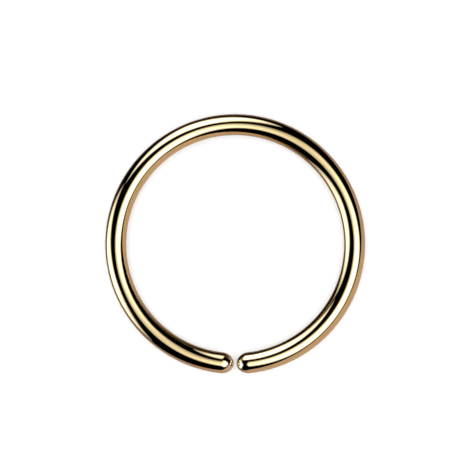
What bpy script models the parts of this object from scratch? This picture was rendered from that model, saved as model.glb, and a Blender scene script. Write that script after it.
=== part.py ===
"""Seamless hoop ring: one length of round wire, bent into an almost closed circle, with domed ends.

Metres, +Z up. The hoop lies on its side on the plane z = 0. Its centre stands over the origin, and
the hair-thin gap between its two ends is at -Y.
"""

from math import asin, cos, pi, sin

import bpy

# Driving dimensions of the hoop
WIRE_DIAMETER = 0.0008
INNER_DIAMETER = 0.0083

# The two ends: the straight distance from tip to tip, and the dome that each end is rounded to
END_GAP = 0.00011
END_DOME_LENGTH = 0.00046
END_FLAT_DIAMETER = 0.0001

# How finely the round shapes are cut into facets. A number of sides that is two more than a
# multiple of four turns a facet, and not an edge, straight down, so the hoop rests flat.
WIRE_SIDES = 26
ARC_STEPS = 104
DOME_STEPS = 7

# Polished gold-coloured metal
GOLD = (0.86, 0.64, 0.27, 1.0)
POLISHED_ROUGHNESS = 0.05

WIRE_RADIUS = WIRE_DIAMETER / 2
CENTRELINE_RADIUS = (INNER_DIAMETER + WIRE_DIAMETER) / 2

# The lowest facets touch z = 0
CENTRELINE_HEIGHT = WIRE_RADIUS * cos(pi / WIRE_SIDES)


def clear_scene():
    """Remove whatever the scene holds."""
    for thing in list(bpy.data.objects):
        bpy.data.objects.remove(thing, do_unlink=True)


def polished_gold():
    """The hoop's one material."""
    material = bpy.data.materials.new("polished_gold")
    material.use_nodes = True
    shader = material.node_tree.nodes["Principled BSDF"]
    shader.inputs["Base Color"].default_value = GOLD
    shader.inputs["Metallic"].default_value = 1.0
    shader.inputs["Roughness"].default_value = POLISHED_ROUGHNESS
    material.diffuse_color = GOLD
    return material


def dome_stations():
    """Distance from the tip and share of the wire's radius, from the tip's small flat to full wire.

    The dome is half an ellipse turned round the wire's centreline.
    """
    first_turn = asin(END_FLAT_DIAMETER / WIRE_DIAMETER)
    stations = []
    for step in range(DOME_STEPS + 1):
        turn = first_turn + (pi / 2 - first_turn) * step / DOME_STEPS
        along = END_DOME_LENGTH * (1 - cos(turn) / cos(first_turn))
        stations.append((along, sin(turn)))
    return stations


def wire_stations():
    """Angle round the hoop and share of the wire's radius, from one tip to the other.

    Angles count anticlockwise from the middle of the gap.
    """
    tip_angle = asin(END_GAP / 2 / CENTRELINE_RADIUS)
    dome = [(tip_angle + along / CENTRELINE_RADIUS, share) for along, share in dome_stations()]
    arc_start = dome[-1][0]
    arc_span = 2 * pi - 2 * arc_start
    arc = [(arc_start + arc_span * step / ARC_STEPS, 1.0) for step in range(1, ARC_STEPS)]
    far_dome = [(2 * pi - angle, share) for angle, share in reversed(dome)]
    return dome + arc + far_dome


def hoop_wire(collection):
    """The whole hoop: a wire swept along its centreline, thinned to a dome at each end."""
    stations = wire_stations()
    curve = bpy.data.curves.new("hoop_wire", "CURVE")
    curve.dimensions = "3D"
    curve.twist_mode = "Z_UP"
    curve.bevel_depth = WIRE_RADIUS
    # A swept wire has four sides, and two more for each step of its resolution
    curve.bevel_resolution = (WIRE_SIDES - 4) // 2
    curve.use_fill_caps = True

    spline = curve.splines.new("POLY")
    spline.points.add(len(stations) - 1)
    spline.use_smooth = True
    for point, (angle, share) in zip(spline.points, stations):
        x = CENTRELINE_RADIUS * sin(angle)
        y = -CENTRELINE_RADIUS * cos(angle)
        point.co = (x, y, 0.0, 1.0)
        point.radius = share

    wire = bpy.data.objects.new("hoop_wire", curve)
    wire.location.z = CENTRELINE_HEIGHT
    wire.data.materials.append(polished_gold())
    collection.objects.link(wire)


def main():
    """Build the hoop in a collection of its own."""
    clear_scene()
    collection = bpy.data.collections.new("seamless_hoop_ring")
    bpy.context.scene.collection.children.link(collection)
    hoop_wire(collection)
    bpy.context.view_layer.update()


main()
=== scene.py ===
from math import ceil, cos, hypot, pi, radians, sin

import bpy
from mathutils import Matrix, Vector


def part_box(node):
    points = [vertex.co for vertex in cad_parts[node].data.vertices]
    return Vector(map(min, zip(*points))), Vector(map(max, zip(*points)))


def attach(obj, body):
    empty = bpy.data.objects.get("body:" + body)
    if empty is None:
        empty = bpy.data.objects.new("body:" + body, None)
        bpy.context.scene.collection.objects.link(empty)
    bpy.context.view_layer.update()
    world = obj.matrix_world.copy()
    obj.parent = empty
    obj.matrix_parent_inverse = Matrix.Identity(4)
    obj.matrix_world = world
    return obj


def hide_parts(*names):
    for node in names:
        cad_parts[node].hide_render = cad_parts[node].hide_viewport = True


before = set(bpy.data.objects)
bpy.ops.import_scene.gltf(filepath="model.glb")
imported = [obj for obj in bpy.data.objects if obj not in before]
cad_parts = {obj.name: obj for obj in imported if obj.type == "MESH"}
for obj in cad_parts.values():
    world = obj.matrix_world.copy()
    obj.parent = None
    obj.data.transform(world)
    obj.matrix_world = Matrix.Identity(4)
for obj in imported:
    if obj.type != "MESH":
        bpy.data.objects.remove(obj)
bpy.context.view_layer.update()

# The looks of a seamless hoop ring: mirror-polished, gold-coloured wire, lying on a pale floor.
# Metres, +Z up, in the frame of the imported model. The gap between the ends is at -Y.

# The hoop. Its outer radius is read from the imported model, and the rest are its real sizes.
WIRE_RADIUS = 0.0004
END_GAP = 0.00011
END_DOME_LENGTH = 0.00046
OUTER_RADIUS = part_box("hoop_wire")[1].x
CENTRELINE_RADIUS = OUTER_RADIUS - WIRE_RADIUS

# How finely the visible wire is divided
ARC_STEPS = 600
DOME_STEPS = 28
WIRE_SIDES = 72

# The wire is unrolled in rows for its texture map, with a margin round each as a share of a row
MAP_ROWS = 3
MAP_MARGIN = 0.04

# Polished gold-coloured metal, and how far its colour drifts over the wire
GOLD = (0.95, 0.745, 0.43, 1.0)
DEEPER_GOLD = (0.93, 0.715, 0.395, 1.0)
COLOUR_DRIFT_SIZE = 0.0022
COLOUR_DRIFT_RANGE = (0.35, 0.65)

# Roughness where the polish is best, and where handling has dulled it in soft patches
BEST_POLISH = 0.030
HANDLED_POLISH = 0.075
HANDLED_PATCH_SIZE = 0.0012
HANDLED_PATCH_STRETCH = 2.0
HANDLED_PATCH_RANGE = (0.52, 0.78)

# Over the rounded ends the polish is a little rougher and the coating a little paler
END_ROUGHNESS = 0.05
END_GOLD = (0.93, 0.80, 0.60, 1.0)

# The polish's unevenness: low waves along the wire, fine polishing lines, and a few hairlines
WAVE_HEIGHT = 0.0000016
WAVE_SIZE = 0.0018
WAVE_STRETCH = 3.0
POLISHING_LINE_HEIGHT = 0.00000006
POLISHING_LINE_SIZE = 0.00004
POLISHING_LINE_STRETCH = 25.0
HAIRLINE_DEPTH = 0.00000015
HAIRLINE_ROUGHNESS = 0.05
HAIRLINE_SIZE = 0.00011
HAIRLINE_STRETCH = 14.0
HAIRLINE_SLANT = (0.6, 0.9, 0.4)
HAIRLINE_RANGE = (0.70, 0.76)

# The photograph's frame, and where the hoop stands in it, in its pixels. The camera is so far
# away that the wire mirrors the same things on both sides of the hoop, as in the photograph.
FRAME_PIXELS = 470
HOOP_CENTRE_PIXEL = (235.23, 244.1)
HOOP_OUTER_DIAMETER_PIXELS = 259.9
CAMERA_DISTANCE = 0.6
NEAREST_SEEN = 0.001
SENSOR_MM = 36.0

# The studio, whose parts are far enough away to look the same from all of the wire
LIGHT_DISTANCE = 1.0
COOL_LIGHT = (0.965, 1.005, 1.09)
WARM_LIGHT = (1.0, 1.015, 0.94)
FILL_DISTANCE = 2.0
FILL_LIGHT = 1.8
FLOOR_RADIUS = 0.6
FLOOR_COLOUR = (0.9, 0.9, 0.9, 1.0)
FLOOR_FADE_FROM = 0.02
FLOOR_FADE_TO = 0.07
BACKDROP_RADIUS = 3.0
BACKDROP_LIGHT = 1.0

# A soft light's share of light at its very border, and how far in, as a share, it is full
BORDER_LIGHT = 0.12
BORDER_FADE = 0.62

# The warm card that stands low all round the hoop. It glows by itself, lights nothing and is seen
# only in the wire's reflections: a painted reflection of warm surroundings. Its top edge is one
# smooth swell, highest in the compass direction of its front, where the card also glows brightest.
# The edge is counted from straight up, and both are in degrees. A greater swell value makes the
# high stretch narrower.
CARD_DISTANCE = 1.8
CARD_GLOW_COLOUR = (0.50, 0.39, 0.335)
CARD_FRONT = -40.0
CARD_TOP_AT_FRONT = 65.0
CARD_TOP_AT_BACK = 130.0
CARD_SWELL = 2.0
CARD_LIGHT_AT_FRONT = 1.1
CARD_LIGHT_AT_BACK = 0.2

# How finely the studio's parts are divided
SOFTBOX_RINGS = 24
SOFTBOX_SPOKES = 120
CARD_ROWS = 24
CARD_COLUMNS = 360
BALL_ROWS = 24
BALL_COLUMNS = 48
FLOOR_SIDES = 96


# Shader maths

class Value:
    """A node's output that takes part in plain arithmetic."""

    def __init__(self, recipe, socket):
        self.recipe = recipe
        self.socket = socket

    def maths(self, operation, first, second):
        return self.recipe.node("ShaderNodeMath", {"operation": operation}, {0: first, 1: second})

    def __add__(self, other):
        return self.maths("ADD", self, other)

    __radd__ = __add__

    def __sub__(self, other):
        return self.maths("SUBTRACT", self, other)

    def __rsub__(self, other):
        return self.maths("SUBTRACT", other, self)

    def __mul__(self, other):
        return self.maths("MULTIPLY", self, other)

    __rmul__ = __mul__

    def __truediv__(self, other):
        return self.maths("DIVIDE", self, other)

    def __rtruediv__(self, other):
        return self.maths("DIVIDE", other, self)


class Recipe:
    """One material, and the one way in which its nodes are made."""

    def __init__(self, name):
        self.material = bpy.data.materials.new(name)
        self.material.use_nodes = True
        self.tree = self.material.node_tree
        self.tree.nodes.clear()

    def node(self, kind, settings=None, values=None, output=0):
        """Makes a node, sets it up, then gives its sockets values or links. Returns one output."""
        made = self.tree.nodes.new(kind)
        for name, setting in (settings or {}).items():
            setattr(made, name, setting)
        for socket, value in (values or {}).items():
            if isinstance(value, Value):
                self.tree.links.new(value.socket, made.inputs[socket])
            else:
                made.inputs[socket].default_value = value
        return Value(self, made.outputs[output]) if made.outputs else None

    def ramp(self, value, start, end):
        """Grows smoothly from 0 to 1 while the value goes from start to end."""
        return self.node("ShaderNodeMapRange", {"interpolation_type": "SMOOTHSTEP"}, {
            "Value": value, "From Min": start, "From Max": end,
        })

    def mixed_colour(self, share, first, second):
        """The first colour, with as much of the second in its place as the share says."""
        return self.node("ShaderNodeMix", {"data_type": "RGBA"}, {
            "Factor": share, "A": first, "B": second,
        }, output="Result")

    def noise(self, place, size, detail, seed):
        """Even noise from 0 to 1 whose blotches are about as wide as the size."""
        return self.node("ShaderNodeTexNoise", {"noise_dimensions": "4D"}, {
            "Vector": place, "W": seed, "Scale": 1.0 / size, "Detail": detail,
        })

    def finish(self, surface):
        self.node("ShaderNodeOutputMaterial", values={"Surface": surface})
        return self.material


# Meshes

def new_mesh(name, points, faces):
    """A mesh of these points and faces."""
    mesh = bpy.data.meshes.new(name)
    mesh.from_pydata(points, [], faces)
    return mesh


def grid_faces(rows, columns):
    """Faces between rows of points that each go all the way round."""
    faces = []
    for row in range(rows):
        here = row * columns
        there = here + columns
        for column in range(columns):
            after = (column + 1) % columns
            faces.append((here + column, here + after, there + after, there + column))
    return faces


# The wire

def wire_stations():
    """Angle round the hoop from the middle of the gap and the wire's radius there, tip to tip."""
    tip_angle = END_GAP / 2 / CENTRELINE_RADIUS
    dome = []
    for step in range(DOME_STEPS + 1):
        turn = pi / 2 * step / DOME_STEPS
        along = END_DOME_LENGTH * (1 - cos(turn))
        dome.append((tip_angle + along / CENTRELINE_RADIUS, WIRE_RADIUS * sin(turn)))
    start = dome[-1][0]
    span = 2 * pi - 2 * start
    arc = [(start + span * step / ARC_STEPS, WIRE_RADIUS) for step in range(1, ARC_STEPS)]
    far_dome = [(2 * pi - angle, radius) for angle, radius in reversed(dome)]
    return dome + arc + far_dome


def skin_lengths(stations):
    """How far along the wire's skin each station is from the first tip."""
    lengths = [0.0]
    for (angle, radius), (next_angle, next_radius) in zip(stations, stations[1:]):
        along = (next_angle - angle) * CENTRELINE_RADIUS
        lengths.append(lengths[-1] + hypot(along, next_radius - radius))
    return lengths


def wire_points(stations):
    """Rings of points round the centreline, each from the wire's underside, then the two tips."""
    points = []
    for angle, radius in stations[1:-1]:
        for side in range(WIRE_SIDES):
            turn = 2 * pi * side / WIRE_SIDES
            out = CENTRELINE_RADIUS + radius * sin(turn)
            points.append((out * sin(angle), -out * cos(angle), WIRE_RADIUS - radius * cos(turn)))
    for angle, _ in (stations[0], stations[-1]):
        x = CENTRELINE_RADIUS * sin(angle)
        y = -CENTRELINE_RADIUS * cos(angle)
        points.append((x, y, WIRE_RADIUS))
    return points


def wire_faces(stations):
    """Faces between the rings and at the tips, and the station and side of each corner."""
    rings = len(stations) - 2
    first_tip = rings * WIRE_SIDES
    last_tip = first_tip + 1
    faces, corners = [], []
    for side in range(WIRE_SIDES):
        after = (side + 1) % WIRE_SIDES
        faces.append((first_tip, side, after))
        corners.append(((0, side + 0.5), (1, side), (1, side + 1)))
    for ring in range(rings - 1):
        here = ring * WIRE_SIDES
        there = here + WIRE_SIDES
        for side in range(WIRE_SIDES):
            after = (side + 1) % WIRE_SIDES
            faces.append((here + side, there + side, there + after, here + after))
            corners.append((
                (ring + 1, side), (ring + 2, side), (ring + 2, side + 1), (ring + 1, side + 1),
            ))
    last_ring = (rings - 1) * WIRE_SIDES
    for side in range(WIRE_SIDES):
        after = (side + 1) % WIRE_SIDES
        faces.append((last_ring + side, last_tip, last_ring + after))
        corners.append(((rings, side), (rings + 1, side + 0.5), (rings, side + 1)))
    return faces, corners


def unroll(mesh, stations, corners):
    """Lays the wire's skin out flat for a texture, in rows that each hold a length of the wire."""
    lengths = skin_lengths(stations)
    stations_in_row = ceil(len(stations) / MAP_ROWS)
    end_margin = MAP_MARGIN / MAP_ROWS
    places = []
    for face in corners:
        row = min(station for station, _ in face) // stations_in_row
        row_start = lengths[row * stations_in_row]
        row_end = lengths[min((row + 1) * stations_in_row, len(lengths) - 1)]
        for station, side in face:
            along = (lengths[station] - row_start) / (row_end - row_start)
            across = MAP_MARGIN + (1 - 2 * MAP_MARGIN) * side / WIRE_SIDES
            places.append(end_margin + (1 - 2 * end_margin) * along)
            places.append((row + across) / MAP_ROWS)
    mesh.uv_layers.new(name="OFBake").data.foreach_set("uv", places)


def wire_mesh(name):
    """The wire as a fine skin, closed to a point at each tip."""
    stations = wire_stations()
    faces, corners = wire_faces(stations)
    mesh = new_mesh(name, wire_points(stations), faces)
    mesh.shade_smooth()
    unroll(mesh, stations, corners)
    return mesh


def polished_gold():
    """Mirror-polished, gold-coloured metal, slightly uneven as hand polishing leaves it."""
    gold = Recipe("polished_gold")
    place = gold.node("ShaderNodeTexCoord", output="Object")
    x, y, z = [
        gold.node("ShaderNodeSeparateXYZ", values={"Vector": place}, output=axis) for axis in "XYZ"
    ]

    # Places on the wire: how far along it from the top of the hoop, and where in its round section
    from_top = gold.node("ShaderNodeMath", {"operation": "ARCTAN2"}, {0: 0.0 - x, 1: y})
    along = from_top * CENTRELINE_RADIUS
    outward = gold.node("ShaderNodeVectorMath", {"operation": "LENGTH"}, {
        0: gold.node("ShaderNodeCombineXYZ", values={"X": x, "Y": y}),
    }, output="Value") - CENTRELINE_RADIUS

    def stretched(share):
        """A place on the wire, drawn out so that what is put there runs along the wire."""
        return gold.node("ShaderNodeCombineXYZ", values={"X": along / share, "Y": outward, "Z": z})

    # The ends, from full wire to the tip
    from_middle = gold.node("ShaderNodeMath", {"operation": "ABSOLUTE"}, {0: along})
    half_length = pi * CENTRELINE_RADIUS
    near_end = gold.ramp(from_middle, half_length - END_DOME_LENGTH, half_length - END_GAP)

    # Handling dulls the polish in soft patches, and the coating's colour drifts a little
    patches = gold.noise(stretched(HANDLED_PATCH_STRETCH), HANDLED_PATCH_SIZE, detail=3.0, seed=1.0)
    dulled = gold.ramp(patches, *HANDLED_PATCH_RANGE)
    drifting = gold.noise(place, COLOUR_DRIFT_SIZE, detail=1.0, seed=2.0)
    drift = gold.ramp(drifting, *COLOUR_DRIFT_RANGE)
    coating = gold.mixed_colour(drift, GOLD, DEEPER_GOLD)
    colour = gold.mixed_colour(near_end, coating, END_GOLD)

    # Polishing lines and low waves run along the wire, and a few hairlines run across it
    lines = gold.noise(stretched(POLISHING_LINE_STRETCH), POLISHING_LINE_SIZE, detail=2.0, seed=3.0)
    slanted = gold.node("ShaderNodeVectorRotate", {"rotation_type": "EULER_XYZ"}, {
        "Vector": place, "Rotation": HAIRLINE_SLANT,
    })
    drawn_out = gold.node("ShaderNodeVectorMath", {"operation": "MULTIPLY"}, {
        0: slanted, 1: (1.0, 1.0 / HAIRLINE_STRETCH, 1.0),
    })
    scratched = gold.noise(drawn_out, HAIRLINE_SIZE, detail=1.0, seed=4.0)
    hairlines = gold.ramp(scratched, *HAIRLINE_RANGE)
    waves = gold.noise(stretched(WAVE_STRETCH), WAVE_SIZE, detail=0.0, seed=5.0)

    roughness = BEST_POLISH + dulled * (HANDLED_POLISH - BEST_POLISH)
    roughness = roughness + near_end * END_ROUGHNESS + hairlines * HAIRLINE_ROUGHNESS
    height = waves * WAVE_HEIGHT + lines * POLISHING_LINE_HEIGHT - hairlines * HAIRLINE_DEPTH

    # At a distance and strength of 1, the height is in metres
    uneven = gold.node("ShaderNodeBump", values={
        "Height": height, "Distance": 1.0, "Strength": 1.0,
    })
    shader = gold.node("ShaderNodeBsdfPrincipled", values={
        "Base Color": colour,
        "Metallic": 1.0,
        "Roughness": roughness,
        "Normal": uneven,
    })
    return gold.finish(shader)


def hoop():
    """The one piece: a fine wire in place of the faceted one."""
    mesh = wire_mesh("polished_hoop")
    mesh.materials.append(polished_gold())
    piece = bpy.data.objects.new("polished_hoop", mesh)
    bpy.context.scene.collection.objects.link(piece)
    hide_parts("hoop_wire")
    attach(piece, "root")


# The studio, all round the hoop

def dome_point(compass, from_up, radius):
    """A place on a dome: its compass direction and its angle from straight up, in degrees."""
    compass, from_up = radians(compass), radians(from_up)
    flat = radius * sin(from_up)
    return flat * cos(compass), flat * sin(compass), radius * cos(from_up)


def stage_part(name, mesh, camera=False, glossy=True, diffuse=True):
    """Puts a part of the studio in the scene, seen only by the kinds of ray given."""
    part = bpy.data.objects.new(name, mesh)
    bpy.context.scene.collection.objects.link(part)
    part.visible_camera = camera
    part.visible_glossy = glossy
    part.visible_diffuse = diffuse
    part.visible_shadow = False


def glowing(name):
    """A surface that gives off light, of the colour and strength that the mesh's glow says."""
    light = Recipe(name)
    glow = light.node("ShaderNodeAttribute", {"attribute_name": "glow"}, output="Color")
    return light.finish(light.node("ShaderNodeEmission", values={"Color": glow}))


def glowing_mesh(name, points, faces, strengths, colours):
    """A mesh that gives off light, with its strength and its colour at each point."""
    mesh = new_mesh(name, points, faces)
    glow = []
    for strength, colour in zip(strengths, colours):
        glow += [strength * part for part in colour] + [1.0]
    mesh.attributes.new("glow", "FLOAT_COLOR", "POINT").data.foreach_set("color", glow)
    mesh.materials.append(glowing(name))
    return mesh


def smooth_step(value, start, end):
    """Grows smoothly from 0 to 1 while the value goes from start to end."""
    share = min(1.0, max(0.0, (value - start) / (end - start)))
    return share * share * (3 - 2 * share)


def border_reach(turn, squareness):
    """How far out a border is in one direction. A squareness of 2 is round, and 1 is a kite."""
    return (abs(cos(turn)) ** squareness + abs(sin(turn)) ** squareness) ** (-1 / squareness)


def softbox(name, towards, half_size, roll, squareness, glow, growth,
            taper=0.0, top_colour=COOL_LIGHT):
    """A soft light: a flat panel that faces the hoop from the distance of the lights.

    towards is its compass direction and its angle from straight up, and roll turns it in its own
    plane, in degrees. half_size is in shares of the distance, first downwards and then sideways.
    The light grows from glow[0] to glow[1] downwards, between the two places of growth, and fades
    towards the border as a cloth front does. Its colour changes over the same places, from that of
    its top to the cool one. A taper makes it narrower downwards.
    """
    compass, from_up = towards
    middle = Vector(dome_point(compass, from_up, 1.0))
    down = Vector(dome_point(compass, from_up + 90, 1.0))
    side = Vector(dome_point(compass + 90, 90, 1.0))
    roll = radians(roll)
    first = (down * cos(roll) + side * sin(roll)) * half_size[0]
    second = (side * cos(roll) - down * sin(roll)) * half_size[1]
    points, strengths, colours = [], [], []
    for ring in range(SOFTBOX_RINGS + 1):
        out = ring / SOFTBOX_RINGS
        faded = BORDER_LIGHT + (1 - BORDER_LIGHT) * min(1.0, (1 - out) / BORDER_FADE)
        for spoke in range(SOFTBOX_SPOKES):
            turn = 2 * pi * spoke / SOFTBOX_SPOKES
            reach = out * border_reach(turn, squareness)
            a = reach * cos(turn)
            b = reach * sin(turn) * (1 - taper * a)
            points.append((middle + first * a + second * b) * LIGHT_DISTANCE)
            grown = smooth_step(a, *growth)
            strengths.append((glow[0] + (glow[1] - glow[0]) * grown) * faded)
            both = zip(top_colour, COOL_LIGHT)
            colours.append([top + (cool - top) * grown for top, cool in both])
    faces = grid_faces(SOFTBOX_RINGS, SOFTBOX_SPOKES)
    stage_part(name, glowing_mesh(name, points, faces, strengths, colours))


def painted_reflection_card():
    """A dim, warm glowing card that lights nothing: a painted reflection the wire mirrors along its
    rims.
    """
    higher = CARD_TOP_AT_BACK - CARD_TOP_AT_FRONT
    lighter = CARD_LIGHT_AT_FRONT - CARD_LIGHT_AT_BACK
    points, strengths = [], []
    for row in range(CARD_ROWS + 1):
        for column in range(CARD_COLUMNS):
            compass = 360 * column / CARD_COLUMNS
            frontness = (1 + cos(radians(compass - CARD_FRONT))) / 2
            start = CARD_TOP_AT_BACK - higher * frontness ** CARD_SWELL
            from_up = start + (180 - start) * row / CARD_ROWS
            points.append(dome_point(compass, from_up, CARD_DISTANCE))
            strengths.append(CARD_LIGHT_AT_BACK + lighter * frontness)
    faces = grid_faces(CARD_ROWS, CARD_COLUMNS)
    mesh = glowing_mesh("painted_reflection_card", points, faces, strengths, [CARD_GLOW_COLOUR] * len(points))
    # Only glossy rays see the card, so its glow is a painted reflection on the wire and lights
    # nothing
    stage_part("painted_reflection_card", mesh, diffuse=False)


def evenly_glowing_ball(name, radius, light):
    """A ball round everything that gives off the same light all over."""
    points = []
    for row in range(BALL_ROWS + 1):
        for column in range(BALL_COLUMNS):
            compass = 360 * column / BALL_COLUMNS
            points.append(dome_point(compass, 180 * row / BALL_ROWS, radius))
    mesh = new_mesh(name, points, grid_faces(BALL_ROWS, BALL_COLUMNS))
    glow = Recipe(name)
    mesh.materials.append(glow.finish(glow.node("ShaderNodeEmission", values={"Strength": light})))
    return mesh


def floor():
    """A pale floor that fades into the backdrop away from the hoop."""
    points = []
    for side in range(FLOOR_SIDES):
        turn = 2 * pi * side / FLOOR_SIDES
        points.append((FLOOR_RADIUS * cos(turn), FLOOR_RADIUS * sin(turn), 0.0))
    mesh = new_mesh("floor", points, [tuple(range(FLOOR_SIDES))])
    paper = Recipe("pale_floor")
    place = paper.node("ShaderNodeTexCoord", output="Object")
    far = paper.node("ShaderNodeVectorMath", {"operation": "LENGTH"}, {0: place}, output="Value")
    faded = paper.ramp(far, FLOOR_FADE_FROM, FLOOR_FADE_TO)
    matt = paper.node("ShaderNodeBsdfDiffuse", values={"Color": FLOOR_COLOUR})
    glow = paper.node("ShaderNodeEmission", values={"Strength": BACKDROP_LIGHT})
    blend = paper.node("ShaderNodeMixShader", values={"Fac": faded, 1: matt, 2: glow})
    mesh.materials.append(paper.finish(blend))
    stage_part("floor", mesh, camera=True, glossy=False)


def soft_lights():
    """The three lights that the wire mirrors as bright bands."""
    softbox("overhead_light", towards=(-27.0, 25.0), half_size=(0.65, 0.70), roll=-11.0,
            squareness=3.8, glow=(1.68, 2.55), growth=(-0.56, -0.05),
            taper=0.13, top_colour=WARM_LIGHT)
    softbox("top_light", towards=(108.0, 66.5), half_size=(0.73, 0.83), roll=10.0,
            squareness=1.2, glow=(2.8, 1.8), growth=(-0.2, 0.4))
    softbox("left_light", towards=(190.5, 90.0), half_size=(0.935, 0.85), roll=-15.5,
            squareness=1.2, glow=(2.1, 0.4), growth=(0.16, 0.72))


def studio():
    """Soft lights, a glowing warm card seen only as painted reflection, a pale floor and a pale
    backdrop. All else is dark.
    """
    soft_lights()
    painted_reflection_card()
    fill = evenly_glowing_ball("fill_light", FILL_DISTANCE, FILL_LIGHT)
    stage_part("fill_light", fill, glossy=False)
    floor()
    backdrop = evenly_glowing_ball("backdrop", BACKDROP_RADIUS, BACKDROP_LIGHT)
    stage_part("backdrop", backdrop, camera=True, glossy=False, diffuse=False)
    world = bpy.data.worlds.new("dark_studio")
    world.use_nodes = True
    world.node_tree.nodes["Background"].inputs["Color"].default_value = (0.0, 0.0, 0.0, 1.0)
    bpy.context.scene.world = world


def camera():
    """Looks straight down at the hoop, as the photograph looks at it face-on."""
    pixels_per_metre = HOOP_OUTER_DIAMETER_PIXELS / (2 * OUTER_RADIUS)
    frame_width = FRAME_PIXELS / pixels_per_metre
    lens = bpy.data.cameras.new("camera")
    lens.lens = SENSOR_MM * CAMERA_DISTANCE / frame_width
    lens.sensor_width = SENSOR_MM
    lens.clip_start = NEAREST_SEEN
    eye = bpy.data.objects.new("camera", lens)
    eye.location = (
        (FRAME_PIXELS / 2 - HOOP_CENTRE_PIXEL[0]) / pixels_per_metre,
        (HOOP_CENTRE_PIXEL[1] - FRAME_PIXELS / 2) / pixels_per_metre,
        WIRE_RADIUS + CAMERA_DISTANCE,
    )
    bpy.context.scene.collection.objects.link(eye)
    bpy.context.scene.camera = eye
    bpy.context.scene.view_settings.view_transform = "Standard"


camera()
hoop()
studio()
